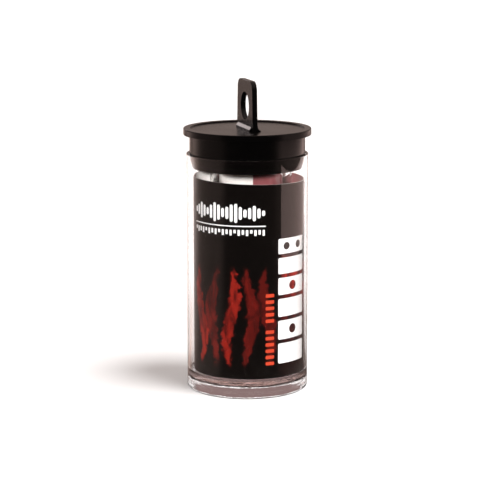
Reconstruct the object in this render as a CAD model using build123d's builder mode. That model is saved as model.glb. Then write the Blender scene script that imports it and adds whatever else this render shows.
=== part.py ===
from build123d import *
import math
import os

# Glass bottle guitar slide in its hang tube: a clear moulded vial closed by a push-in stopper
# with a hang tab, a rolled printed card that lines the vial, and the glass slide standing in it.
#
# Millimetres. +Z is up, the origin is the centre of the base on the tube's axis, and Z = 0 is the
# surface that the tube stands on. The hang tab's plate lies in the YZ plane, so a peg goes through
# its hole along X.

# ---------------------------------------------------------------- tube (clear moulded vial)
tube_r = 20.0            # outside radius
tube_bore_r = 19.05      # inside radius, a 0.95 mm wall
rim_z = 78.5             # top of the wall
floor_top_z = 5.6        # inside of the floor web
floor_under_z = 4.1      # underside of the floor web, a 1.5 mm floor
floor_corner_r = 1.25    # inside corner between wall and floor; the card's edge rests on it
foot_in_r = 18.1         # the foot skirt's inside radius at the ground
foot_in_top_r = 17.7     # and where it meets the floor web
foot_edge_r = 1.1        # rounded outside edge that the tube stands on
foot_inner_edge_r = 0.4
rim_edge_r = 0.25

# ---------------------------------------------------------------- stopper (one moulding)
plug_clearance = 0.05    # radial clearance of the plug in the bore
plug_r = tube_bore_r - plug_clearance
plug_taper_z = 77.6      # straight above this, tapered below it
plug_end_z = 73.75       # bottom of the plug
plug_end_r = 17.86
plug_core_r = 16.3       # hollow underside, at the opening
plug_core_top_r = 16.0   # and at its ceiling, with moulding draft
ceiling_z = 84.8
ceiling_corner_r = 0.8
flange_r = 21.0
flange_under_z = 84.65
flange_top_z = 86.8      # top of the raised rim ring
panel_z = 86.35          # the slightly sunk panel inside the ring
ring_in_r = 18.7
flange_top_edge_r = 0.3
flange_under_edge_r = 0.15
ring_in_edge_r = 0.18
plug_end_edge_r = 0.3
neck_fillet_r = 0.3      # under the flange, where the plug starts

tab_t = 1.72             # hang tab thickness, along X
tab_top_z = 102.5
tab_w_base = 18.0        # along Y at the panel
tab_w_top = 16.2         # along Y at the top, with draft
tab_corner_r = 3.0
tab_edge_r = 0.22
peg_hole_r = 4.55
peg_hole_z = 94.0
tab_ledge_w = 0.75       # sloping ledge along the tab's foot, on its -X face
tab_ledge_side = 0.52
tab_ledge_h = 1.40
tab_ledge_len = 15.0
tab_flare_w = 1.05       # hollow flare along the tab's foot, on its +X face
tab_flare_side = 0.30
tab_flare_h = 2.0

# ---------------------------------------------------------------- label card (rolled)
card_t = 0.30
card_r = 18.36           # outside radius of the roll
card_bottom_z = 6.45     # the card sits on the tube's inside corner
card_top_z = 70.75
card_top_lean = 1.7      # degrees: the card is rolled a little out of true, so its ends lean
card_bottom_lean = 0.4
card_lean_a = -17.0      # the ends are lowest towards this angle from +X
card_dx = 0.521          # the roll rests to one side of the bore
card_dy = -0.159
flap_gap = 0.04          # between the two layers of the overlap
flap_edge_a = 68.0       # where the inner layer's free edge is, degrees from +X
flap_span = 88.0         # how far the overlap runs
flap_blend = 22.0        # over this angle the inner layer steps out to the roll's radius

# ---------------------------------------------------------------- glass slide (bottle)
slide_r = 13.5           # outside radius
slide_bore_r = 10.5      # finger bore
slide_len = 69.0
slide_base_z = 5.65      # stands on the floor web, 0.05 mm clear
slide_dx = 1.144         # the slide leans to the same side as the card
slide_dy = -0.350
slide_heel_r = 5.0       # outside rounding of the closed end
slide_punt_r = 8.0       # shallow hollow in the closed end
slide_punt_d = 0.8
slide_base_t = 3.4       # glass thickness of the closed end
slide_inner_heel_r = 3.5
slide_lip_r = 1.45       # fire-polished lip

os.makedirs("parts", exist_ok=True)

# ================================================================ tube
with BuildPart() as tube:
    with BuildSketch(Plane.XZ) as tube_section:
        with BuildLine():
            Polyline(
                (0, floor_under_z),
                (foot_in_top_r, floor_under_z),
                (foot_in_r, 0),
                (tube_r, 0),
                (tube_r, rim_z),
                (tube_bore_r, rim_z),
                (tube_bore_r, floor_top_z),
                (0, floor_top_z),
                close=True,
            )
        make_face()
    revolve(axis=Axis.Z)
    circles = tube.edges().filter_by(GeomType.CIRCLE)
    fillet(circles.filter_by(lambda e: abs(e.radius - tube_r) < 1e-3 and e.center().Z < 1), foot_edge_r)
    circles = tube.edges().filter_by(GeomType.CIRCLE)
    fillet(circles.filter_by(lambda e: abs(e.radius - foot_in_r) < 1e-3 and e.center().Z < 0.01), foot_inner_edge_r)
    circles = tube.edges().filter_by(GeomType.CIRCLE)
    fillet(circles.filter_by(lambda e: abs(e.radius - foot_in_top_r) < 1e-3 and abs(e.center().Z - floor_under_z) < 1e-3), 0.8)
    circles = tube.edges().filter_by(GeomType.CIRCLE)
    fillet(circles.filter_by(lambda e: abs(e.radius - tube_bore_r) < 1e-3 and abs(e.center().Z - floor_top_z) < 1e-3), floor_corner_r)
    circles = tube.edges().filter_by(GeomType.CIRCLE)
    fillet(circles.filter_by(lambda e: abs(e.center().Z - rim_z) < 1e-3), rim_edge_r)

# ================================================================ stopper
with BuildPart() as stopper:
    with BuildSketch(Plane.XZ) as stopper_section:
        with BuildLine():
            Polyline(
                (0, ceiling_z),
                (plug_core_top_r, ceiling_z),
                (plug_core_r, plug_end_z),
                (plug_end_r, plug_end_z),
                (plug_r, plug_taper_z),
                (plug_r, flange_under_z),
                (flange_r, flange_under_z),
                (flange_r, flange_top_z),
                (ring_in_r, flange_top_z),
                (ring_in_r, panel_z),
                (0, panel_z),
                close=True,
            )
        make_face()
    revolve(axis=Axis.Z)
    rings = stopper.edges().filter_by(GeomType.CIRCLE)
    fillet(rings.filter_by(lambda e: abs(e.radius - flange_r) < 1e-3 and abs(e.center().Z - flange_top_z) < 1e-3), flange_top_edge_r)
    rings = stopper.edges().filter_by(GeomType.CIRCLE)
    fillet(rings.filter_by(lambda e: abs(e.radius - flange_r) < 1e-3 and abs(e.center().Z - flange_under_z) < 1e-3), flange_under_edge_r)
    rings = stopper.edges().filter_by(GeomType.CIRCLE)
    fillet(rings.filter_by(lambda e: abs(e.radius - ring_in_r) < 1e-3), ring_in_edge_r)
    rings = stopper.edges().filter_by(GeomType.CIRCLE)
    fillet(rings.filter_by(lambda e: abs(e.radius - plug_r) < 1e-3 and abs(e.center().Z - flange_under_z) < 1e-3), neck_fillet_r)
    rings = stopper.edges().filter_by(GeomType.CIRCLE)
    fillet(rings.filter_by(lambda e: abs(e.center().Z - plug_end_z) < 1e-3), plug_end_edge_r)
    rings = stopper.edges().filter_by(GeomType.CIRCLE)
    fillet(rings.filter_by(lambda e: abs(e.radius - plug_core_top_r) < 1e-3 and abs(e.center().Z - ceiling_z) < 1e-3), ceiling_corner_r)

    # the hang tab: a drafted upright plate with rounded top corners and a round peg hole
    with BuildSketch(Plane.YZ.offset(-tab_t / 2)) as tab_outline:
        with BuildLine():
            Polyline(
                (-tab_w_base / 2, panel_z - 0.2),
                (tab_w_base / 2, panel_z - 0.2),
                (tab_w_top / 2, tab_top_z),
                (-tab_w_top / 2, tab_top_z),
                close=True,
            )
        make_face()
        fillet(tab_outline.vertices().group_by(Axis.Y)[-1], radius=tab_corner_r)
        with Locations((0, peg_hole_z)):
            Circle(peg_hole_r, mode=Mode.SUBTRACT)
    extrude(amount=tab_t)
    # the tab's outer edges are broken all round, down to just above the panel
    rim_edges = stopper.edges().filter_by(
        lambda e: e.center().Z > panel_z + 0.5
        and abs(abs(e.center().X) - tab_t / 2) < 1e-3
        and (e.geom_type != GeomType.CIRCLE or abs(e.radius - peg_hole_r) > 1e-3)
    )
    fillet(rim_edges, tab_edge_r)

    # the tab's foot: a sloping ledge along one face and a hollow flare along the other
    with BuildSketch(Plane.XZ.offset(-tab_ledge_len / 2)) as ledge_section:
        with BuildLine():
            Polyline(
                (-tab_t / 2 + 0.3, panel_z - 0.2),
                (-tab_t / 2 - tab_ledge_w, panel_z - 0.2),
                (-tab_t / 2 - tab_ledge_w, panel_z + tab_ledge_side),
                (-tab_t / 2, panel_z + tab_ledge_h),
                (-tab_t / 2 + 0.3, panel_z + tab_ledge_h),
                close=True,
            )
        make_face()
    extrude(amount=tab_ledge_len)
    flare_len = tab_w_base - 0.3
    with BuildSketch(Plane.XZ.offset(-flare_len / 2)) as flare_section:
        with BuildLine():
            flare = Spline(
                (tab_t / 2, panel_z + tab_flare_h),
                (tab_t / 2 + 0.12, panel_z + 0.62 * tab_flare_h),
                (tab_t / 2 + 0.40 * tab_flare_w, panel_z + 0.36 * tab_flare_h),
                (tab_t / 2 + tab_flare_w, panel_z + tab_flare_side),
                tangents=((0.03, -1), (1, -0.6)),
            )
            Polyline(
                flare @ 1,
                (tab_t / 2 + tab_flare_w, panel_z - 0.2),
                (tab_t / 2 - 0.3, panel_z - 0.2),
                (tab_t / 2 - 0.3, panel_z + tab_flare_h),
                flare @ 0,
            )
        make_face()
    extrude(amount=flare_len)

# ================================================================ label card
# One printed sheet rolled anticlockwise seen from above: it starts at the inner layer's free edge,
# steps out to the roll's radius after the overlap, and goes once round until it covers that inner
# layer. Both faces of the sheet are drawn and closed with the two cut edges.
flap_r = card_r - card_t - flap_gap          # outside radius of the inner layer


def on_circle(r, a):
    return (card_dx + r * math.cos(math.radians(a)), card_dy + r * math.sin(math.radians(a)))


def heading(a):
    return (-math.sin(math.radians(a)), math.cos(math.radians(a)))


flap_end_a = flap_edge_a + flap_span
roll_start_a = flap_end_a + flap_blend
roll_end_a = flap_edge_a + 360.0 + flap_span


def lean_plane(z, lean):
    """A plane through (0, 0, z) whose height falls towards card_lean_a by the given angle."""
    k = math.tan(math.radians(lean))
    a = math.radians(card_lean_a)
    return Plane(origin=(0, 0, z), z_dir=(k * math.cos(a), k * math.sin(a), 1))


with BuildPart() as label_card:
    with BuildSketch(Plane.XY.offset(card_bottom_z - 2)) as card_section:
        with BuildLine():
            # outer face, from the inner layer's edge to the outer layer's edge
            CenterArc((card_dx, card_dy), flap_r, flap_edge_a, flap_span)
            Spline(
                on_circle(flap_r, flap_end_a), on_circle(card_r, roll_start_a),
                tangents=(heading(flap_end_a), heading(roll_start_a)),
            )
            CenterArc((card_dx, card_dy), card_r, roll_start_a, roll_end_a - roll_start_a)
            Line(on_circle(card_r, roll_end_a), on_circle(card_r - card_t, roll_end_a))
            # inner face, back again
            CenterArc((card_dx, card_dy), card_r - card_t, roll_end_a, roll_start_a - roll_end_a)
            Spline(
                on_circle(card_r - card_t, roll_start_a), on_circle(flap_r - card_t, flap_end_a),
                tangents=(tuple(-v for v in heading(roll_start_a)), tuple(-v for v in heading(flap_end_a))),
            )
            CenterArc((card_dx, card_dy), flap_r - card_t, flap_end_a, -flap_span)
            Line(on_circle(flap_r - card_t, flap_edge_a), on_circle(flap_r, flap_edge_a))
        make_face()
    extrude(amount=card_top_z - card_bottom_z + 4)
    split(bisect_by=lean_plane(card_top_z, card_top_lean), keep=Keep.BOTTOM)
    split(bisect_by=lean_plane(card_bottom_z, card_bottom_lean), keep=Keep.TOP)

# ================================================================ glass slide
slide_axis = Plane(origin=(slide_dx, slide_dy, slide_base_z), x_dir=(1, 0, 0), z_dir=(0, -1, 0))
with BuildPart() as glass_slide:
    with BuildSketch(slide_axis) as slide_section:
        with BuildLine():
            # shallow push-up in the middle of the closed end, so it stands on a ring
            ThreePointArc((0, slide_punt_d), (slide_punt_r * 0.55, slide_punt_d * 0.68), (slide_punt_r, 0))
            Line((slide_punt_r, 0), (slide_r - slide_heel_r, 0))
            CenterArc((slide_r - slide_heel_r, slide_heel_r), slide_heel_r, -90, 90)
            Line((slide_r, slide_heel_r), (slide_r, slide_len - slide_lip_r))
            # fire-polished lip
            CenterArc((slide_r - slide_lip_r, slide_len - slide_lip_r), slide_lip_r, 0, 90)
            Line((slide_r - slide_lip_r, slide_len), (slide_bore_r + slide_lip_r, slide_len))
            CenterArc((slide_bore_r + slide_lip_r, slide_len - slide_lip_r), slide_lip_r, 90, 90)
            # finger bore and the inside of the closed end
            Line((slide_bore_r, slide_len - slide_lip_r), (slide_bore_r, slide_base_t + slide_inner_heel_r))
            CenterArc((slide_bore_r - slide_inner_heel_r, slide_base_t + slide_inner_heel_r), slide_inner_heel_r, 0, -90)
            Line((slide_bore_r - slide_inner_heel_r, slide_base_t), (0, slide_base_t))
            Line((0, slide_base_t), (0, slide_punt_d))
        make_face()
    revolve(axis=Axis((slide_dx, slide_dy, 0), (0, 0, 1)))

# ================================================================ output
tube.part.label = "tube"
export_step(tube.part, "parts/tube.step")

stopper.part.label = "stopper"
export_step(stopper.part, "parts/stopper.step")

label_card.part.label = "label_card"
export_step(label_card.part, "parts/label_card.step")

glass_slide.part.label = "glass_slide"
export_step(glass_slide.part, "parts/glass_slide.step")

for name, piece in (("tube", tube), ("stopper", stopper), ("label_card", label_card), ("glass_slide", glass_slide)):
    box = piece.part.bounding_box()
    print(f"{name:12s} solids {len(piece.part.solids())}  volume {piece.part.volume:9.1f}  "
          f"z {box.min.Z:7.2f} .. {box.max.Z:7.2f}  x {box.min.X:7.2f} .. {box.max.X:7.2f}")
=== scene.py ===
import math

import bmesh
import bpy
import numpy as np
from mathutils import Matrix, Vector
from mathutils.geometry import delaunay_2d_cdt


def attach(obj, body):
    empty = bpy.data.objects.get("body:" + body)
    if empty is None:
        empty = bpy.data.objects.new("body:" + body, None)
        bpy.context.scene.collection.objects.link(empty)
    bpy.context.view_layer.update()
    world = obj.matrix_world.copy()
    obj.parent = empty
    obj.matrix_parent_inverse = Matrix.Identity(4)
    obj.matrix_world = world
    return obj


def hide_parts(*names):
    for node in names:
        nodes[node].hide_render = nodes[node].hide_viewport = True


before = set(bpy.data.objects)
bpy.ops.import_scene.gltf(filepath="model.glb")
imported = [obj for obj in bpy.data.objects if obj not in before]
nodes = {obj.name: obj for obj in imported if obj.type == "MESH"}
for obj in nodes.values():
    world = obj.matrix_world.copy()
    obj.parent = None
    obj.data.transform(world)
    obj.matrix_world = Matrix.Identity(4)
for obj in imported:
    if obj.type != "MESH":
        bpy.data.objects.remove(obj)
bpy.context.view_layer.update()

MM = 0.001

# ------------------------------------------------------------------------------------------------
# Camera: a long lens, looking 11 degrees down, from 17 degrees round towards -X
# ------------------------------------------------------------------------------------------------
VIEW_AZ = math.radians(-17.0)
PITCH = math.radians(11.0)
ahead = Vector((-math.sin(VIEW_AZ), math.cos(VIEW_AZ), 0.0))      # level direction of view
across = Vector((math.cos(VIEW_AZ), math.sin(VIEW_AZ), 0.0))      # to the right in the view
look = ahead * math.cos(PITCH) + Vector((0, 0, -math.sin(PITCH)))
up = across.cross(look)

cam_data = bpy.data.cameras.new("camera")
cam_data.sensor_width = 36.0
cam_data.lens = 1909.7 / 500.0 * 36.0
cam_data.clip_start = 0.05
cam_data.clip_end = 30.0
camera = bpy.data.objects.new("camera", cam_data)
bpy.context.scene.collection.objects.link(camera)
place = -ahead * 0.6215 + across * 0.0009 + Vector((0, 0, 0.1667))
camera.matrix_world = Matrix(
    (
        (across.x, up.x, -look.x, place.x),
        (across.y, up.y, -look.y, place.y),
        (across.z, up.z, -look.z, place.z),
        (0, 0, 0, 1),
    )
)
bpy.context.scene.camera = camera


# ------------------------------------------------------------------------------------------------
# Mesh helpers
# ------------------------------------------------------------------------------------------------
def link(name, mesh):
    obj = bpy.data.objects.new(name, mesh)
    bpy.context.scene.collection.objects.link(obj)
    return obj


def filleted(corners, arc_step=math.radians(7.5)):
    """corners is a list of (r, z, fillet radius), walked with the solid on the left. Returns points and outward
    normals in the (r, z) half plane, with tangent arcs in place of the corners that have a radius."""
    pts = [np.array(c[:2], float) for c in corners]
    out = []
    n = len(corners)
    for i, (p, c) in enumerate(zip(pts, corners)):
        rad = c[2] if len(c) > 2 else 0.0
        prev_p = pts[i - 1] if i > 0 else None
        next_p = pts[i + 1] if i < n - 1 else None
        if prev_p is None or next_p is None or rad <= 0:
            for a, b in ((prev_p, p), (p, next_p)):
                if a is None or b is None:
                    continue
                d = (b - a) / np.linalg.norm(b - a)
                nn = np.array((d[1], -d[0]))
                out.append((p, nn))
            continue
        d0 = (p - prev_p) / np.linalg.norm(p - prev_p)
        d1 = (next_p - p) / np.linalg.norm(next_p - p)
        n0, n1 = np.array((d0[1], -d0[0])), np.array((d1[1], -d1[0]))
        turn = math.atan2(d0[0] * d1[1] - d0[1] * d1[0], float(d0 @ d1))
        cut = rad * math.tan(abs(turn) / 2)
        start = p - d0 * cut
        side = 1.0 if turn > 0 else -1.0
        centre = start - n0 * rad * side
        steps = max(3, int(math.ceil(abs(turn) / arc_step)))
        for k in range(steps + 1):
            a = turn * k / steps
            ca, sa = math.cos(a), math.sin(a)
            nn = np.array((n0[0] * ca - n0[1] * sa, n0[0] * sa + n0[1] * ca))
            out.append((centre + nn * rad * side, nn))
    # one entry per distinct (point, normal)
    clean = [out[0]]
    for q in out[1:]:
        if np.linalg.norm(q[0] - clean[-1][0]) > 1e-7 or np.linalg.norm(q[1] - clean[-1][1]) > 1e-4:
            clean.append(q)
    return clean


def lathe(name, profile, segs=192, centre=(0.0, 0.0), longest=0.004):
    """Turns a profile from filleted() round the axis through centre: one closed mesh with exact normals."""
    # split long straight runs, so that no face is a long sliver
    run = [profile[0]]
    for q in profile[1:]:
        p = run[-1]
        gap = np.linalg.norm(q[0] - p[0])
        if gap > longest and abs(float(p[1] @ q[1]) - 1) < 1e-6:
            parts = int(math.ceil(gap / longest))
            for k in range(1, parts):
                run.append((p[0] + (q[0] - p[0]) * k / parts, q[1]))
        run.append(q)
    # rings of vertices; a sharp corner keeps one ring and two normals
    rings, entries = [], []
    for p, nn in run:
        if rings and np.linalg.norm(p - rings[-1]) < 1e-7:
            entries[-1].append(nn)
        else:
            rings.append(p)
            entries.append([nn])
    verts, index = [], []
    for p in rings:
        if p[0] < 1e-7:
            index.append([len(verts)] * segs)
            verts.append((centre[0], centre[1], p[1]))
        else:
            index.append(list(range(len(verts), len(verts) + segs)))
            for s in range(segs):
                a = 2 * math.pi * s / segs
                verts.append((centre[0] + p[0] * math.cos(a), centre[1] + p[0] * math.sin(a), p[1]))
    faces, normals = [], []
    for i in range(len(rings) - 1):
        n_low, n_high = entries[i][-1], entries[i + 1][0]
        for s in range(segs):
            t = (s + 1) % segs
            loop = [(index[i][s], s, n_low), (index[i][t], s + 1, n_low), (index[i + 1][t], s + 1, n_high), (index[i + 1][s], s, n_high)]
            seen, face, face_n = set(), [], []
            for v, k, nn in loop:
                if v in seen:
                    continue
                seen.add(v)
                a = 2 * math.pi * k / segs
                if len(index[i]) and verts[v][0] == centre[0] and verts[v][1] == centre[1]:
                    a = 2 * math.pi * (s + 0.5) / segs
                face.append(v)
                face_n.append((nn[0] * math.cos(a), nn[0] * math.sin(a), nn[1]))
            faces.append(face)
            normals.extend(face_n)
    mesh = bpy.data.meshes.new(name)
    mesh.from_pydata(verts, [], faces)
    mesh.polygons.foreach_set("use_smooth", [True] * len(mesh.polygons))
    mesh.update()
    mesh.normals_split_custom_set(normals)
    mesh.update()
    return link(name, mesh)


# ------------------------------------------------------------------------------------------------
# Node helpers
# ------------------------------------------------------------------------------------------------
class Tree:
    def __init__(self, name):
        self.mat = bpy.data.materials.new(name)
        self.mat.use_nodes = True
        self.nt = self.mat.node_tree
        self.nt.nodes.clear()
        self.out = self.nt.nodes.new("ShaderNodeOutputMaterial")

    def node(self, kind, **props):
        n = self.nt.nodes.new(kind)
        for k, v in props.items():
            setattr(n, k, v)
        return n

    def put(self, socket, value):
        if hasattr(value, "is_output") or isinstance(value, bpy.types.NodeSocket):
            self.nt.links.new(value, socket)
        else:
            socket.default_value = value

    def math(self, op, a, b=None, c=None, clamp=False):
        n = self.node("ShaderNodeMath", operation=op, use_clamp=clamp)
        for i, v in enumerate((a, b, c)):
            if v is not None:
                self.put(n.inputs[i], v)
        return n.outputs[0]

    def noise(self, vector, scale, detail=3.0, rough=0.5, distortion=0.0):
        n = self.node("ShaderNodeTexNoise")
        self.put(n.inputs["Vector"], vector)
        n.inputs["Scale"].default_value = scale
        n.inputs["Detail"].default_value = detail
        n.inputs["Roughness"].default_value = rough
        n.inputs["Distortion"].default_value = distortion
        return n.outputs["Fac"]

    def ramp(self, fac, stops, interpolation="LINEAR"):
        n = self.node("ShaderNodeValToRGB")
        self.put(n.inputs[0], fac)
        cr = n.color_ramp
        cr.interpolation = interpolation
        while len(cr.elements) < len(stops):
            cr.elements.new(0.5)
        for e, (pos, col) in zip(cr.elements, stops):
            e.position = pos
            e.color = col if len(col) == 4 else (*col, 1.0)
        return n.outputs[0]

    def span(self, value, a, b, to_a=0.0, to_b=1.0, smooth=False):
        n = self.node("ShaderNodeMapRange")
        n.interpolation_type = "SMOOTHSTEP" if smooth else "LINEAR"
        n.clamp = True
        self.put(n.inputs["Value"], value)
        n.inputs["From Min"].default_value = a
        n.inputs["From Max"].default_value = b
        n.inputs["To Min"].default_value = to_a
        n.inputs["To Max"].default_value = to_b
        return n.outputs["Result"]

    def mix(self, fac, a, b, blend="MIX"):
        n = self.node("ShaderNodeMix", data_type="RGBA", blend_type=blend)
        self.put(n.inputs["Factor"], fac)
        for sock, v in ((n.inputs[6], a), (n.inputs[7], b)):
            if isinstance(v, tuple):
                v = v if len(v) == 4 else (*v, 1.0)
            self.put(sock, v)
        return n.outputs[2]

    def principled(self, **values):
        p = self.node("ShaderNodeBsdfPrincipled")
        for k, v in values.items():
            if isinstance(v, tuple) and len(v) == 3:
                v = (*v, 1.0)
            self.put(p.inputs[k.replace("_", " ")], v)
        self.nt.links.new(p.outputs[0], self.out.inputs["Surface"])
        return p

    def curve(self, value, points, low, high, scale):
        """A line through points (value, result), for values between low and high; results run 0 to scale."""
        n = self.node("ShaderNodeFloatCurve")
        self.put(n.inputs["Value"], self.span(value, low, high))
        line = n.mapping.curves[0]
        while len(line.points) < len(points):
            line.points.new(0.5, 0.5)
        for p, (x, y) in zip(line.points, points):
            p.location = ((x - low) / (high - low), y / scale)
            p.handle_type = "AUTO_CLAMPED"
        n.mapping.update()
        return self.math("MULTIPLY", n.outputs[0], scale)

    def bump(self, height, strength, distance):
        n = self.node("ShaderNodeBump")
        n.inputs["Strength"].default_value = strength
        n.inputs["Distance"].default_value = distance
        self.put(n.inputs["Height"], height)
        return n.outputs[0]


# ------------------------------------------------------------------------------------------------
# Materials
# ------------------------------------------------------------------------------------------------
def black_plastic():
    """Satin black polyethylene: fine mould grain, faint flow marks, roughness that varies a little."""
    t = Tree("black_polyethylene")
    obj = t.node("ShaderNodeTexCoord").outputs["Object"]
    grain = t.noise(obj, 5200.0, 4.0, 0.6)
    flow = t.noise(obj, 190.0, 3.0, 0.55, 0.6)
    handled = t.noise(obj, 60.0, 5.0, 0.6)
    colour = t.mix(flow, (0.0004, 0.0004, 0.0004), (0.0011, 0.0010, 0.0010))
    rough = t.math("MULTIPLY_ADD", handled, 0.12, 0.16)
    rough = t.math("MULTIPLY_ADD", grain, 0.05, rough)
    height = t.math("MULTIPLY_ADD", flow, 0.6, grain)
    p = t.principled(Base_Color=colour, Roughness=rough)
    p.inputs["IOR"].default_value = 1.51
    t.put(p.inputs["Normal"], t.bump(height, 0.12, 0.00002))
    return t.mat


def clear_plastic():
    """Injection-moulded clear polystyrene: water clear, faint flow waviness, hairline scuffs."""
    t = Tree("clear_polystyrene")
    obj = t.node("ShaderNodeTexCoord").outputs["Object"]
    wave = t.noise(obj, 34.0, 2.0, 0.4, 0.3)
    scuff = t.noise(obj, 900.0, 5.0, 0.7)
    rough = t.span(scuff, 0.62, 0.80, 0.012, 0.10, smooth=True)
    p = t.principled(Base_Color=(0.99, 0.985, 0.985), Roughness=rough)
    p.inputs["IOR"].default_value = 1.58
    p.inputs["Transmission Weight"].default_value = 1.0
    # the foot was ejected warm: its flow marks run round it and are deeper than those of the wall
    sep = t.node("ShaderNodeSeparateXYZ")
    t.put(sep.inputs[0], obj)
    foot = t.span(sep.outputs[2], 0.0055, 0.0075, 1.0, 0.0, smooth=True)
    squash = t.node("ShaderNodeMapping")
    squash.inputs["Scale"].default_value = (1.0, 1.0, 5.0)
    t.put(squash.inputs[0], obj)
    streak = t.noise(squash.outputs[0], 120.0, 3.0, 0.55, 0.8)
    height = t.math("MULTIPLY_ADD", t.math("MULTIPLY", foot, streak), 16.0, wave)
    t.put(p.inputs["Normal"], t.bump(height, 0.08, 0.0002))
    soak = t.node("ShaderNodeVolumeAbsorption")
    soak.inputs["Color"].default_value = (0.55, 0.24, 0.22, 1.0)
    soak.inputs["Density"].default_value = 18.0
    t.nt.links.new(soak.outputs[0], t.out.inputs["Volume"])
    return t.mat


def slide_glass():
    """Clear bottle glass: slight waviness from blowing."""
    t = Tree("bottle_glass")
    obj = t.node("ShaderNodeTexCoord").outputs["Object"]
    wave = t.noise(obj, 70.0, 2.0, 0.5, 0.5)
    seed = t.noise(obj, 700.0, 2.0, 0.5)
    rough = t.span(seed, 0.60, 0.85, 0.004, 0.05, smooth=True)
    p = t.principled(Base_Color=(0.985, 0.985, 0.985), Roughness=rough)
    p.inputs["IOR"].default_value = 1.50
    p.inputs["Transmission Weight"].default_value = 1.0
    t.put(p.inputs["Normal"], t.bump(wave, 0.10, 0.0004))
    return t.mat


# ------------------------------------------------------------------------------------------------
# Stopper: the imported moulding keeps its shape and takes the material
# ------------------------------------------------------------------------------------------------
BLACK = black_plastic()
for slot in nodes["stopper"].material_slots:
    slot.material = BLACK

# ------------------------------------------------------------------------------------------------
# Tube
# ------------------------------------------------------------------------------------------------
TUBE_R, BORE_R, RIM_Z = 20.0 * MM, 19.05 * MM, 78.5 * MM
tube = lathe(
    "tube_shell",
    filleted(
        [
            (0.0, 4.1 * MM),
            (17.7 * MM, 4.1 * MM, 0.8 * MM),
            (18.1 * MM, 0.0, 0.4 * MM),
            (20.0 * MM, 0.0, 1.1 * MM),
            (20.0 * MM, 78.5 * MM, 0.25 * MM),
            (19.05 * MM, 78.5 * MM, 0.25 * MM),
            (19.05 * MM, 5.6 * MM, 1.25 * MM),
            (0.0, 5.6 * MM),
        ]
    ),
    segs=256,
)
tube.data.materials.append(clear_plastic())
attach(tube, "tube")
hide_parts("tube")

# ------------------------------------------------------------------------------------------------
# Glass slide
# ------------------------------------------------------------------------------------------------
SZ = 5.65 * MM
punt = []
for k in range(9):
    a = k / 8.0
    r = 8.0 * MM * a
    z = 0.8 * MM * (1 - a * a)
    slope = -2 * 0.8 / 8.0 * a
    nn = np.array((slope, -1.0))
    punt.append((np.array((r, SZ + z)), nn / np.linalg.norm(nn)))
body = filleted(
    [
        (8.0 * MM, SZ),
        (13.5 * MM, SZ, 5.0 * MM),
        (13.5 * MM, SZ + 69.0 * MM, 1.45 * MM),
        (10.5 * MM, SZ + 69.0 * MM, 1.45 * MM),
        (10.5 * MM, SZ + 3.4 * MM, 3.5 * MM),
        (0.0, SZ + 3.4 * MM),
    ]
)
slide = lathe("bottle_slide", punt + body, segs=192, centre=(1.144 * MM, -0.350 * MM))
slide.data.materials.append(slide_glass())
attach(slide, "glass_slide")
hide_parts("glass_slide")

# ------------------------------------------------------------------------------------------------
# Label card: one sheet rolled 448 degrees, with its print laid out flat in millimetres. On the flat
# sheet, u runs round the roll from the front line (anticlockwise seen from above) and v is the height.
# ------------------------------------------------------------------------------------------------
CARD_R, CARD_T, FLAP_GAP = 18.36, 0.30, 0.04
CARD_X, CARD_Y = 0.521, -0.159
CARD_Z0, CARD_Z1 = 6.45, 70.75
LEAN_0, LEAN_1, LEAN_A = math.tan(math.radians(0.4)), math.tan(math.radians(1.7)), math.radians(-17.0)
FLAP_EDGE, FLAP_SPAN, FLAP_BLEND = 68.0, 88.0, 22.0
FLAP_R = CARD_R - CARD_T - FLAP_GAP
FRONT = -107.0                                    # the angle that faces the camera, degrees from +X
START, END = FLAP_EDGE, FLAP_EDGE + 360.0 + FLAP_SPAN


def card_radius(a):
    """Outside radius of the sheet at roll angle a, in mm: the covered flap, the step out, then the roll."""
    k = (a - (FLAP_EDGE + FLAP_SPAN)) / FLAP_BLEND
    k = min(1.0, max(0.0, k))
    k = k * k * (3 - 2 * k)
    return FLAP_R + (CARD_R - FLAP_R) * k


def card_point(a, depth, v):
    r = card_radius(a) - depth
    t = math.radians(a)
    return ((CARD_X + r * math.cos(t)) * MM, (CARD_Y + r * math.sin(t)) * MM, v * MM)


def flat_u(a):
    """Distance round the roll from the front line, mm, for a roll angle between START and END."""
    return math.radians(a - (FRONT + 360.0)) * CARD_R


def angle_of(u):
    return FRONT + 360.0 + math.degrees(u / CARD_R)


cols = 320
rows = 48
angles = [START + (END - START) * i / cols for i in range(cols + 1)]


def ends(a):
    """The sheet's bottom and top, mm, at roll angle a: it is rolled a little out of true, so both ends lean."""
    x, y, _ = card_point(a, CARD_T / 2, 0)
    k = (x * math.cos(LEAN_A) + y * math.sin(LEAN_A)) / MM
    return CARD_Z0 - LEAN_0 * k, CARD_Z1 - LEAN_1 * k


def height(i, j):
    low, high = ends(angles[i])
    return low + (high - low) * j / rows


verts, faces, mats, loop_n, loop_uv = [], [], [], [], []


def vid(layer, i, j):
    return (layer * (cols + 1) + i) * (rows + 1) + j


for layer in (0, 1):
    for i, a in enumerate(angles):
        for j in range(rows + 1):
            verts.append(card_point(a, CARD_T * layer, height(i, j)))


def radial(a, sign):
    e = 0.5
    p, q = card_point(a - e, 0, 0), card_point(a + e, 0, 0)
    d = Vector((q[0] - p[0], q[1] - p[1], 0)).normalized()
    return (d.y * sign, -d.x * sign, 0.0)


def add_face(corners, mat, normals):
    faces.append([vid(*c) for c in corners])
    mats.append(mat)
    for c, nn in zip(corners, normals):
        loop_n.append(nn)
        loop_uv.append((flat_u(angles[c[1]]) / 100.0, height(c[1], c[2]) / 100.0))


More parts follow.
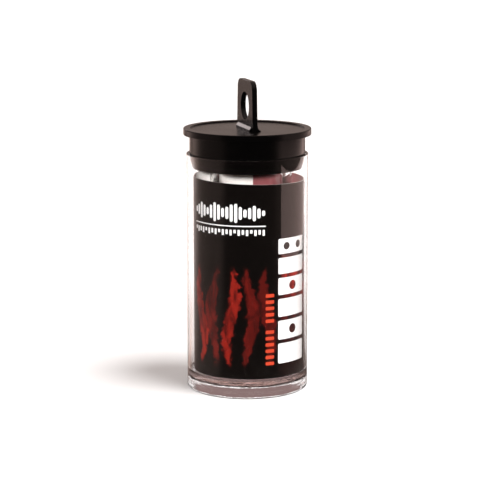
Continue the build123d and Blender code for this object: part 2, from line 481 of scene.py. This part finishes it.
out_n = [radial(a, 1.0) for a in angles]
in_n = [radial(a, -1.0) for a in angles]
for i in range(cols):
    for j in range(rows):
        add_face([(0, i, j), (0, i + 1, j), (0, i + 1, j + 1), (0, i, j + 1)], 0, [out_n[i], out_n[i + 1], out_n[i + 1], out_n[i]])
        add_face([(1, i, j + 1), (1, i + 1, j + 1), (1, i + 1, j), (1, i, j)], 1, [in_n[i], in_n[i + 1], in_n[i + 1], in_n[i]])
    add_face([(0, i, rows), (0, i + 1, rows), (1, i + 1, rows), (1, i, rows)], 2, [(0, 0, 1)] * 4)
    add_face([(1, i, 0), (1, i + 1, 0), (0, i + 1, 0), (0, i, 0)], 2, [(0, 0, -1)] * 4)
for i, sign in ((0, -1.0), (cols, 1.0)):
    t = math.radians(angles[i])
    nn = (-math.sin(t) * sign, math.cos(t) * sign, 0.0)
    for j in range(rows):
        quad = [(0, i, j), (0, i, j + 1), (1, i, j + 1), (1, i, j)]
        if sign > 0:
            quad = [(1, i, j), (1, i, j + 1), (0, i, j + 1), (0, i, j)]
        add_face(quad, 2, [nn] * 4)
mesh = bpy.data.meshes.new("rolled_card")
mesh.from_pydata(verts, [], faces)
mesh.polygons.foreach_set("use_smooth", [True] * len(mesh.polygons))
mesh.polygons.foreach_set("material_index", mats)
uv = mesh.uv_layers.new(name="flat")
uv.data.foreach_set("uv", [x for pair in loop_uv for x in pair])
mesh.update()
mesh.normals_split_custom_set(loop_n)
mesh.update()
card = link("rolled_card", mesh)


def print_art(t):
    """The printed ground, in flat sheet millimetres: black, with soft red ribbons that drift across it."""
    uvn = t.node("ShaderNodeUVMap")
    uvn.uv_map = "flat"
    sep = t.node("ShaderNodeSeparateXYZ")
    t.put(sep.inputs[0], uvn.outputs[0])
    u = t.math("MULTIPLY", sep.outputs[0], 100.0)
    v = t.math("MULTIPLY", sep.outputs[1], 100.0)
    # a slow drift, so that no edge is a straight line
    drift = t.noise(uvn.outputs[0], 7.0, 3.0, 0.5)
    drift2 = t.noise(uvn.outputs[0], 34.0, 4.0, 0.65)
    du = t.math("MULTIPLY_ADD", t.math("SUBTRACT", drift, 0.5), 3.0, u)
    du = t.math("MULTIPLY_ADD", t.math("SUBTRACT", drift2, 0.5), 5.0, du)
    dv = t.math("MULTIPLY_ADD", t.math("SUBTRACT", drift2, 0.5), 4.0, v)

    def flame(centre, widths, v_low, v_high, fade, edge=1.0):
        """An upright tongue: centre lists (height, u) and widths lists (height, half width)."""
        mid = t.math("ADD", t.curve(dv, [(a, b + 80.0) for a, b in centre], 0.0, 72.0, 160.0), -80.0)
        half = t.curve(dv, widths, 0.0, 72.0, 20.0)
        off = t.math("SUBTRACT", half, t.math("ABSOLUTE", t.math("SUBTRACT", du, mid)))
        m = t.span(off, -edge / 2, edge / 2, 0.0, 1.0, smooth=True)
        low = t.span(dv, v_low - fade, v_low + fade, 0.0, 1.0, smooth=True)
        high = t.span(dv, v_high - fade, v_high + fade, 1.0, 0.0, smooth=True)
        return t.math("MULTIPLY", m, t.math("MULTIPLY", low, high))

    def ribbon(at, phase, width, low, high):
        """One of an even row of ribbons: a plain sine wave that tapers at both ends."""
        heights = [low + (high - low) * k / 8 for k in range(9)]
        line = [(h, at + 1.5 * math.sin(phase + k * math.pi / 4)) for k, h in enumerate(heights)]
        widths = [(h, 0.3 + width * math.sin(math.pi * k / 8)) for k, h in enumerate(heights)]
        return flame(line, widths, low + 2.0, high - 2.0, 1.5, 1.0)

    # five ribbons, evenly spaced, each half a turn of the wave after the one before
    left, spark, mid, branch, shard = (ribbon(-18.0 + 6.0 * k, k * math.pi / 2, 1.9, 9.0, 45.0) for k in range(5))
    # a broad field to the right, under a slanting edge, that fades downwards
    slant = t.math("MULTIPLY_ADD", du, 0.25, dv)
    field = t.span(slant, 48.0, 52.0, 1.0, 0.0, smooth=True)
    field = t.math("MULTIPLY", field, t.span(du, 9.0, 12.0, 0.0, 1.0, smooth=True))
    field = t.math("MULTIPLY", field, t.span(du, 40.0, 50.0, 1.0, 0.0, smooth=True))
    depth = t.span(dv, 20.0, 40.0, 0.0, 1.0, smooth=True)
    lower = t.span(dv, 24.0, 46.0, 0.40, 0.80, smooth=True)
    field = t.math("MULTIPLY", field, t.math("MAXIMUM", depth, lower))
    field = t.math("MULTIPLY", field, t.span(dv, 6.0, 26.0, 0.15, 1.0, smooth=True))
    back_a = flame([(6, -46), (30, -42), (64, -47)], [(6, 2.0), (20, 6.5), (40, 3.0), (52, 6.0), (64, 0.6)], 9.0, 62.0, 2.5, 1.6)
    back_b = flame([(6, 62), (30, 57), (64, 64)], [(6, 1.0), (18, 5.0), (36, 7.0), (50, 3.0), (64, 0.4)], 9.0, 62.0, 2.5, 1.6)
    back_c = flame([(6, 44), (40, 38), (66, 45)], [(6, 0.6), (26, 3.2), (44, 1.4), (66, 0.3)], 12.0, 60.0, 2.5, 1.6)
    red = left
    for other in (
        t.math("MULTIPLY", mid, 0.80),
        t.math("MULTIPLY", branch, 0.55),
        t.math("MULTIPLY", spark, 0.60),
        t.math("MULTIPLY", shard, 0.45),
        field,
        t.math("MULTIPLY", back_a, 0.85),
        t.math("MULTIPLY", back_b, 0.8),
        t.math("MULTIPLY", back_c, 0.6),
    ):
        red = t.math("MAXIMUM", red, other)
    # inner modelling: dark folds along the ribbons and fine printing grain
    fold = t.node("ShaderNodeTexNoise")
    stretch = t.node("ShaderNodeVectorMath", operation="MULTIPLY")
    t.put(stretch.inputs[0], uvn.outputs[0])
    stretch.inputs[1].default_value = (2.6, 0.8, 1.0)
    t.put(fold.inputs["Vector"], stretch.outputs[0])
    fold.inputs["Scale"].default_value = 11.0
    fold.inputs["Detail"].default_value = 5.0
    fold.inputs["Roughness"].default_value = 0.62
    fold.inputs["Distortion"].default_value = 0.7
    shade = t.span(fold.outputs["Fac"], 0.36, 0.56, 0.42, 1.0)
    red = t.math("MULTIPLY", red, shade)
    speck = t.noise(uvn.outputs[0], 420.0, 2.0, 0.6)
    red = t.math("MULTIPLY", red, t.span(speck, 0.3, 0.7, 0.88, 1.08))
    return red, u, v


def outer_print():
    t = Tree("printed_face")
    red, u, v = print_art(t)
    colour = t.ramp(
        red,
        [
            (0.0, (0.0026, 0.0020, 0.0018)),
            (0.18, (0.012, 0.0030, 0.0026)),
            (0.5, (0.080, 0.0062, 0.0048)),
            (0.82, (0.235, 0.0140, 0.0088)),
            (1.0, (0.330, 0.0230, 0.0135)),
        ],
    )
    obj = t.node("ShaderNodeTexCoord").outputs["Object"]
    fibre = t.noise(obj, 1500.0, 4.0, 0.6)
    wave = t.noise(obj, 55.0, 2.0, 0.5)
    rough = t.math("MULTIPLY_ADD", fibre, 0.10, 0.38)
    p = t.principled(Base_Color=colour, Roughness=rough)
    p.inputs["IOR"].default_value = 1.45
    p.inputs["Specular IOR Level"].default_value = 0.30
    t.put(p.inputs["Normal"], t.bump(t.math("MULTIPLY_ADD", wave, 3.0, fibre), 0.15, 0.00003))
    return t.mat


def inner_face():
    """The unprinted inside: warm white board, with the print showing through faintly where one layer stands: painted
    light, the print lit from outside shining through the sheet.
    """
    t = Tree("card_inside")
    red, u, v = print_art(t)
    single = t.span(u, -12.0, 1.0, 1.0, 1.0)
    flap = t.span(u, flat_u(FLAP_EDGE + FLAP_SPAN) - 1.0, flat_u(FLAP_EDGE + FLAP_SPAN) + 3.0, 0.0, 1.0, smooth=True)
    obj = t.node("ShaderNodeTexCoord").outputs["Object"]
    fibre = t.noise(obj, 1100.0, 5.0, 0.65)
    cloud = t.noise(obj, 90.0, 3.0, 0.5)
    paper = t.mix(fibre, (0.93, 0.88, 0.83), (0.98, 0.94, 0.89))
    # painted light: rose where the print would shine through the single layer, dark where the flap lies behind it
    painted_show_through = t.mix(cloud, (0.24, 0.070, 0.075), (0.31, 0.100, 0.105))
    colour = t.mix(flap, paper, painted_show_through)
    p = t.principled(Base_Color=colour, Roughness=t.math("MULTIPLY_ADD", fibre, 0.2, 0.6))
    p.inputs["Specular IOR Level"].default_value = 0.3
    t.put(p.inputs["Normal"], t.bump(fibre, 0.25, 0.00003))
    return t.mat


def cut_edge():
    t = Tree("card_cut_edge")
    obj = t.node("ShaderNodeTexCoord").outputs["Object"]
    fibre = t.noise(obj, 2600.0, 4.0, 0.7)
    colour = t.mix(fibre, (0.55, 0.50, 0.47), (0.80, 0.76, 0.72))
    p = t.principled(Base_Color=colour, Roughness=t.math("MULTIPLY_ADD", fibre, 0.2, 0.7))
    t.put(p.inputs["Normal"], t.bump(fibre, 0.3, 0.00004))
    return t.mat


for m in (outer_print(), inner_face(), cut_edge()):
    card.data.materials.append(m)
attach(card, "label_card")
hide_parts("label_card")


# ------------------------------------------------------------------------------------------------
# Raised ink on the card: plain marks, each a thin closed film that follows the roll
# ------------------------------------------------------------------------------------------------
def rounded_rect(u0, v0, u1, v1, r, n=6):
    r = min(r, (u1 - u0) / 2, (v1 - v0) / 2)
    pts = []
    for cu, cv, a0 in ((u1 - r, v0 + r, -90), (u1 - r, v1 - r, 0), (u0 + r, v1 - r, 90), (u0 + r, v0 + r, 180)):
        for k in range(n + 1):
            a = math.radians(a0 + 90.0 * k / n)
            pts.append((cu + r * math.cos(a), cv + r * math.sin(a)))
    return pts


def disc(cu, cv, r, n=40):
    return [(cu + r * math.cos(2 * math.pi * k / n), cv + r * math.sin(2 * math.pi * k / n)) for k in range(n)]


def inside(p, ring):
    hit = False
    x, y = p
    for i in range(len(ring)):
        (x0, y0), (x1, y1) = ring[i - 1], ring[i]
        if (y0 > y) != (y1 > y) and x < (x1 - x0) * (y - y0) / (y1 - y0) + x0:
            hit = not hit
    return hit


def thin_film(bm, outline, holes=(), film=0.018, sink=0.04, step=0.6):
    """Adds one mark to bm: the outline (mm on the flat sheet) less its holes, on the roll's outer face."""
    pts, edges = [], []
    for ring in (outline, *holes):
        base = len(pts)
        dense = []
        for i in range(len(ring)):
            a, b = Vector(ring[i]), Vector(ring[(i + 1) % len(ring)])
            parts = max(1, int(math.ceil((b - a).length / step)))
            dense += [tuple(a.lerp(b, k / parts)) for k in range(parts)]
        pts += dense
        edges += [(base + i, base + (i + 1) % len(dense)) for i in range(len(dense))]
    us, vs = [p[0] for p in outline], [p[1] for p in outline]
    rim = list(pts)
    nu = max(1, int((max(us) - min(us)) / step))
    nv = max(1, int((max(vs) - min(vs)) / (step * 2)))
    for i in range(1, nu):
        for j in range(1, nv):
            q = (min(us) + (max(us) - min(us)) * i / nu, min(vs) + (max(vs) - min(vs)) * j / nv)
            if inside(q, outline) and not any(inside(q, h) for h in holes):
                if min((q[0] - r[0]) ** 2 + (q[1] - r[1]) ** 2 for r in rim) > (0.3 * step) ** 2:
                    pts.append(q)
    vs2, es2, fs2, *_ = delaunay_2d_cdt([Vector(p) for p in pts], edges, [], 0, 1e-6)
    keep = []
    for f in fs2:
        c = (sum(vs2[i][0] for i in f) / len(f), sum(vs2[i][1] for i in f) / len(f))
        if inside(c, outline) and not any(inside(c, h) for h in holes):
            keep.append(f)
    top, low = {}, {}
    for f in keep:
        for i in f:
            if i not in top:
                a = angle_of(vs2[i][0])
                top[i] = bm.verts.new(card_point(a, -film, vs2[i][1]))
                low[i] = bm.verts.new(card_point(a, sink, vs2[i][1]))
    edge_use = {}
    for f in keep:
        bm.faces.new([top[i] for i in f]).smooth = True
        bm.faces.new([low[i] for i in reversed(f)]).smooth = True
        for i in range(len(f)):
            e = (f[i], f[(i + 1) % len(f)])
            edge_use[e] = edge_use.get(e, 0) + 1
    for (a, b) in list(edge_use):
        if (b, a) not in edge_use:
            bm.faces.new([top[b], top[a], low[a], low[b]])


def ink_piece(name, marks, material):
    bm = bmesh.new()
    for outline, holes in marks:
        thin_film(bm, outline, holes)
    me = bpy.data.meshes.new(name)
    bm.normal_update()
    bm.to_mesh(me)
    bm.free()
    me.set_sharp_from_angle(angle=math.radians(40))
    obj = link(name, me)
    me.materials.append(material)
    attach(obj, "label_card")
    return obj


def ink(name, dark, light):
    t = Tree(name)
    obj = t.node("ShaderNodeTexCoord").outputs["Object"]
    lay = t.noise(obj, 1800.0, 3.0, 0.6)
    cloud = t.noise(obj, 120.0, 2.0, 0.5)
    colour = t.mix(t.math("MULTIPLY_ADD", lay, 0.5, t.math("MULTIPLY", cloud, 0.5)), dark, light)
    p = t.principled(Base_Color=colour, Roughness=t.math("MULTIPLY_ADD", lay, 0.12, 0.34))
    p.inputs["Specular IOR Level"].default_value = 0.35
    t.put(p.inputs["Normal"], t.bump(lay, 0.12, 0.00002))
    return t.mat


white_marks, accent_marks = [], []

# a waveform of plain upright bars, with a rule and a row of short ticks below it
WAVE = [2.0, 3.4, 5.2, 3.8, 2.4, 4.4, 6.2, 5.0, 3.0, 4.0, 5.6, 6.2, 4.2, 2.6, 3.6, 5.0, 3.2, 1.8]
W0, W1, WV = -21.2, 5.4, 61.4
pitch = (W1 - W0) / len(WAVE)
for k, h in enumerate(WAVE):
    c = W0 + pitch * (k + 0.5)
    white_marks.append((rounded_rect(c - 0.50, WV - h / 2, c + 0.50, WV + h / 2, 0.5), ()))
white_marks.append((rounded_rect(W0, 57.0, W1, 57.35, 0.1, 2), ()))
ticks = 20
for k in range(ticks):
    c = W0 + (W1 - W0) * (k + 0.5) / ticks
    h = (1.1, 1.9, 1.5, 1.9)[k % 4]
    white_marks.append((rounded_rect(c - 0.38, 56.0 - h, c + 0.38, 56.0, 0.12, 3), ()))

# a tall strip like a fingerboard: six fields, each shorter than the one below, with inlay dots
F0, F1 = 9.8, 21.6
total, gap, count = 41.4, 1.30, 6
ratio = 2 ** (-1 / 12)
unit = (total - gap * (count - 1)) / sum(ratio**k for k in range(count))
v = 11.2
for k in range(count):
    h = unit * ratio**k
    mid_u, mid_v = (F0 + F1) / 2, v + h / 2
    holes = []
    if k in (1, 3):
        holes = [disc(mid_u, mid_v, 1.55)]
    if k == 5:
        holes = [disc(mid_u - 2.7, mid_v, 1.25), disc(mid_u + 2.7, mid_v, 1.25)]
    white_marks.append((rounded_rect(F0, v, F1, v + h, 0.5), tuple(holes)))
    v += h + gap

# a column of short dashes beside it, in two groups
v = 11.0
for k in range(11):
    if k == 6:
        v += 1.6
    accent_marks.append((rounded_rect(5.4, v, 8.3, v + 1.15, 0.25, 3), ()))
    v += 2.1

white_ink = ink_piece("white_print", white_marks, ink("white_ink", (0.88, 0.87, 0.86), (0.96, 0.95, 0.94)))
accent_ink = ink_piece("accent_print", accent_marks, ink("accent_ink", (0.47, 0.040, 0.016), (0.56, 0.066, 0.030)))

# ------------------------------------------------------------------------------------------------
# Floor, light and backdrop. The floor is a plain white sheet to the camera, lit until it is just white, with the
# soft shadow of one high lamp.
# Mirrors see it darker, in a tone set by bearing, and through the clear plastic it carries painted shade close under
# the tube and a painted glow.
# What the glossy plastic mirrors is a studio with a dark front and a bright back: bearings here are round the tube,
# 0 towards the camera and positive to its right.
# ------------------------------------------------------------------------------------------------
TINT = (1.0, 0.78, 0.70)


LOW_LEFT = [(0, 1.0), (22, 1.0), (28, 0.34), (38, 0.17), (46, 0.80), (58, 0.72), (68, 0.34), (80, 0.16), (128, 0.13), (140, 0.02), (180, 0.010)]
LOW_RIGHT = [(0, 0.012), (50, 0.015), (62, 0.06), (80, 0.08), (100, 0.09), (120, 0.12), (140, 0.16), (156, 0.28), (168, 0.6), (180, 1.0)]
HIGH_LEFT = [(0, 0.42), (18, 0.42), (26, 0.12), (44, 0.10), (56, 0.30), (84, 0.18), (110, 0.10), (135, 0.03), (180, 0.02)]
HIGH_RIGHT = [(0, 0.02), (50, 0.03), (85, 0.06), (110, 0.12), (140, 0.26), (156, 0.40), (180, 0.42)]


def bearing_level(t, ahead_part, across_part, left_stops, right_stops):
    """How bright the studio is at a bearing: dark in front, rising to the sides, brightest at the back. The left
    stops start at the back and the right stops start in front."""
    b = t.math("ARCTAN2", across_part, t.math("MULTIPLY", ahead_part, -1.0))
    b = t.math("MULTIPLY", b, 180.0 / math.pi)
    left = t.ramp(t.span(b, -180.0, 0.0), [(p / 180, (v,) * 3) for p, v in left_stops])
    right = t.ramp(t.span(b, 0.0, 180.0), [(p / 180, (v,) * 3) for p, v in right_stops])
    side = t.math("GREATER_THAN", b, 0.0)
    return t.mix(side, left, right)


def flat_parts(t, vector):
    """Splits a vector into its parts along and across the view's level direction, and its height."""
    sep = t.node("ShaderNodeSeparateXYZ")
    t.put(sep.inputs[0], vector)
    a = t.math("MULTIPLY_ADD", sep.outputs[0], ahead.x, t.math("MULTIPLY", sep.outputs[1], ahead.y))
    s = t.math("MULTIPLY_ADD", sep.outputs[0], across.x, t.math("MULTIPLY", sep.outputs[1], across.y))
    return a, s, sep.outputs[2]


def floor_material():
    t = Tree("studio_floor")
    geo = t.node("ShaderNodeNewGeometry")
    a, s, _ = flat_parts(t, geo.outputs["Position"])
    level = bearing_level(t, a, s, LOW_LEFT, LOW_RIGHT)
    mirrored = t.mix(1.0, level, (0.80 * TINT[0], 0.80 * TINT[1], 0.80 * TINT[2]), "MULTIPLY")
    tone = t.noise(geo.outputs["Position"], 3.0, 2.0, 0.5)
    seen = t.mix(tone, (0.865, 0.865, 0.865), (0.895, 0.895, 0.895))
    path = t.node("ShaderNodeLightPath")
    far = t.math("SQRT", t.math("MULTIPLY_ADD", a, a, t.math("MULTIPLY", s, s)))
    # seen straight through the clear tube, or turned once inside its wall: plain white, with painted shade close
    # under it
    straight = t.math("LESS_THAN", t.math("ADD", path.outputs["Glossy Depth"], path.outputs["Diffuse Depth"]), 0.5)
    once = t.math("LESS_THAN", t.math("ADD", path.outputs["Glossy Depth"], path.outputs["Diffuse Depth"]), 1.5)
    behind = t.span(t.math("DIVIDE", a, t.math("MAXIMUM", far, 0.001)), 0.62, 0.80, 0.0, 1.0, smooth=True)
    straight = t.math("MAXIMUM", straight, t.math("MULTIPLY", once, behind))
    straight = t.math("MAXIMUM", straight, t.span(far, 0.030, 0.042, 1.0, 0.0, smooth=True))
    through = t.math("MULTIPLY", path.outputs["Is Transmission Ray"], straight)
    # painted shade: through the plastic the floor goes dark towards the foot
    close_painted_shade = t.ramp(t.span(far, 0.018, 0.028), [(0.0, (0.05, 0.036, 0.035)), (0.30, (0.38, 0.29, 0.285)), (0.70, (0.66, 0.57, 0.56)), (1.0, (0.88, 0.88, 0.88))])
    colour = t.mix(path.outputs["Is Camera Ray"], t.mix(through, mirrored, close_painted_shade), seen)
    p = t.principled(Base_Color=colour, Roughness=0.9)
    p.inputs["Specular IOR Level"].default_value = 0.0
    # painted glow: seen through the plastic, the floor glows pink right under the foot and white far off, though it
    # is no lamp
    under = t.math("MULTIPLY", through, t.span(far, 0.0185, 0.0205, 1.0, 0.0, smooth=True))
    beyond_painted_glow = t.math("MULTIPLY", through, t.span(far, 0.10, 0.20, 0.0, 1.0, smooth=True))
    t.put(p.inputs["Emission Color"], t.mix(t.math("GREATER_THAN", far, 0.05), (0.27, 0.185, 0.178), (0.60, 0.60, 0.60)))
    t.put(p.inputs["Emission Strength"], t.math("ADD", under, beyond_painted_glow))
    return t.mat


bm = bmesh.new()
bmesh.ops.create_grid(bm, x_segments=8, y_segments=8, size=6.0)
fme = bpy.data.meshes.new("floor")
bm.to_mesh(fme)
bm.free()
floor = link("floor", fme)
floor.data.materials.append(floor_material())

world = bpy.data.worlds.new("studio")
bpy.context.scene.world = world
world.use_nodes = True


class WorldTree(Tree):
    def __init__(self, tree):
        self.nt = tree
        self.nt.nodes.clear()
        self.out = self.nt.nodes.new("ShaderNodeOutputWorld")


w = WorldTree(world.node_tree)
w_dir = w.node("ShaderNodeTexCoord").outputs["Generated"]
wa, ws, wz = flat_parts(w, w_dir)
w_level = bearing_level(w, wa, ws, HIGH_LEFT, HIGH_RIGHT)
w_top = w.span(wz, 0.25, 0.9, 0.0, 1.0, smooth=True)
w_level = w.mix(w_top, w_level, (0.34, 0.34, 0.34))
w_colour = w.mix(1.0, w_level, TINT, "MULTIPLY")
w_path = w.node("ShaderNodeLightPath")
w_straight = w.math("LESS_THAN", w.math("ADD", w_path.outputs["Glossy Depth"], w_path.outputs["Diffuse Depth"]), 0.5)
w_once = w.math("LESS_THAN", w.math("ADD", w_path.outputs["Glossy Depth"], w_path.outputs["Diffuse Depth"]), 1.5)
w_straight = w.math("MAXIMUM", w_straight, w.math("MULTIPLY", w_once, w.span(wa, 0.58, 0.78, 0.0, 1.0, smooth=True)))
w_straight = w.math("MULTIPLY", w_path.outputs["Is Transmission Ray"], w_straight)
w_colour = w.mix(w_straight, w_colour, (1.8, 1.8, 1.8))
w_bg = w.node("ShaderNodeBackground")
w.put(w_bg.inputs["Color"], w.mix(w_path.outputs["Is Camera Ray"], w_colour, (1.0, 1.0, 1.0)))
w_bg.inputs["Strength"].default_value = 1.0
w.nt.links.new(w_bg.outputs[0], w.out.inputs["Surface"])


def bearing(deg, el):
    """Unit vector at a bearing and an elevation, both in degrees."""
    b, e = math.radians(deg), math.radians(el)
    level = -ahead * math.cos(b) + across * math.sin(b)
    return level * math.cos(e) + Vector((0, 0, math.sin(e)))


def softbox(name, where, towards, size, level, colour=(1, 1, 1), glossy=False):
    """A rectangular lamp of the given radiance. The camera never sees it, and neither does a mirror
    unless glossy is set."""
    data = bpy.data.lights.new(name, "AREA")
    data.shape = "RECTANGLE"
    data.size, data.size_y = size
    data.energy = level * math.pi * size[0] * size[1]
    data.color = colour
    obj = bpy.data.objects.new(name, data)
    bpy.context.scene.collection.objects.link(obj)
    obj.location = where
    obj.rotation_euler = (Vector(towards) - Vector(where)).to_track_quat("-Z", "Y").to_euler()
    obj.visible_camera = False
    obj.visible_glossy = glossy
    obj.visible_transmission = False
    return obj


middle = Vector((0, 0, 0.045))


def far_lamp(name, bearing_deg, el_deg, spread_deg, level, colour=(1, 1, 1)):
    """A soft lamp so far away that it lights everything evenly. level is its irradiance over pi."""
    data = bpy.data.lights.new(name, "SUN")
    data.energy = level * math.pi
    data.angle = math.radians(spread_deg)
    data.color = colour
    obj = bpy.data.objects.new(name, data)
    bpy.context.scene.collection.objects.link(obj)
    obj.location = middle + bearing(bearing_deg, el_deg) * 0.5
    obj.rotation_euler = (-bearing(bearing_deg, el_deg)).to_track_quat("-Z", "Y").to_euler()
    obj.visible_glossy = False
    obj.visible_transmission = False
    return obj


# high key lamp: gives the soft shadow to the left
far_lamp("key", 57, 68, 22, 0.90, (1.0, 0.99, 0.985))
# low front lamp, from round the camera: lights the print and the inside of the gap
far_lamp("front", 0, 10.7, 3.5, 1.68)
# long low board that stands on the floor to the right
board_h, board_l = 0.041, 0.52
board_at = across * 0.235 + ahead * (board_l / 2 - 0.112)
softbox("board", board_at + Vector((0, 0, board_h / 2)), board_at - across + Vector((0, 0, board_h / 2)), (board_l, board_h), 1.30, (1.0, 0.72, 0.66), glossy=True)
# small bright strip at the back, which only the gloss shows: it picks out the rims and the tab's foot
strip = bearing(-152, 20) * 1.2
softbox("strip", strip, middle, (0.26, 0.18), 3.0, (1.0, 0.88, 0.86), glossy=True)

for piece in (tube, slide):
    piece.visible_shadow = False

scene = bpy.context.scene
scene.view_settings.view_transform = "Standard"
scene.view_settings.look = "None"
scene.view_settings.exposure = 0.0
scene.view_settings.gamma = 1.0
